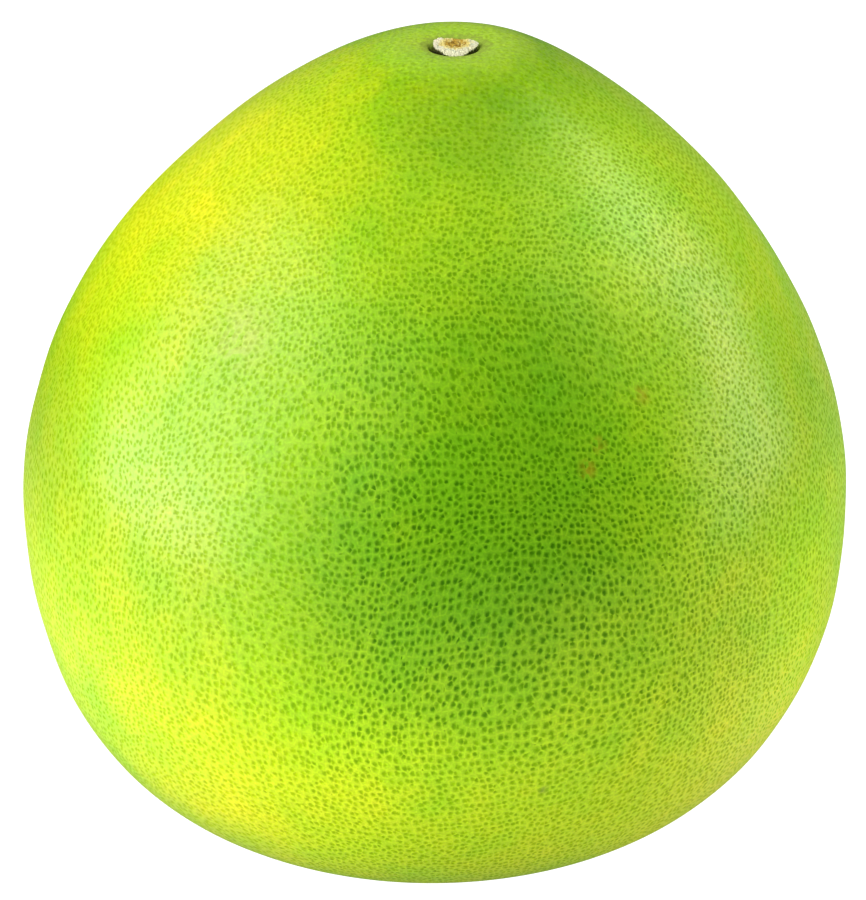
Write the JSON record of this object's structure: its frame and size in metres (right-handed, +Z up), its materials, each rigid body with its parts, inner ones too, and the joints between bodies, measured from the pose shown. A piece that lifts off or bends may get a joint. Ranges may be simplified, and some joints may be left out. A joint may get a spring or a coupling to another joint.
{
  "type": "pomelo",
  "caption": "Whole green pomelo with a broad belly, a tapering crown and a cut stalk, resting on its base.",
  "frame": {"origin": "middle of the small flat spot under the fruit that it rests on", "axes": "+Z up through the fruit to the stalk, +X to the side that the crown leans to, -Y towards the side seen from the front"},
  "size_m": [0.15, 0.15, 0.1481],
  "materials": {
    "peel": "waxy yellow-green peel dotted with darker oil glands, satin",
    "dried_calyx": "dry, dark olive brown, matt",
    "cut_stalk": "fresh cut, cream wood round a brown middle, matt"
  },
  "bodies": {
    "root": {"fruit": "peel", "calyx": "dried_calyx", "stem_stub": "cut_stalk"}
  },
  "joints": []
}
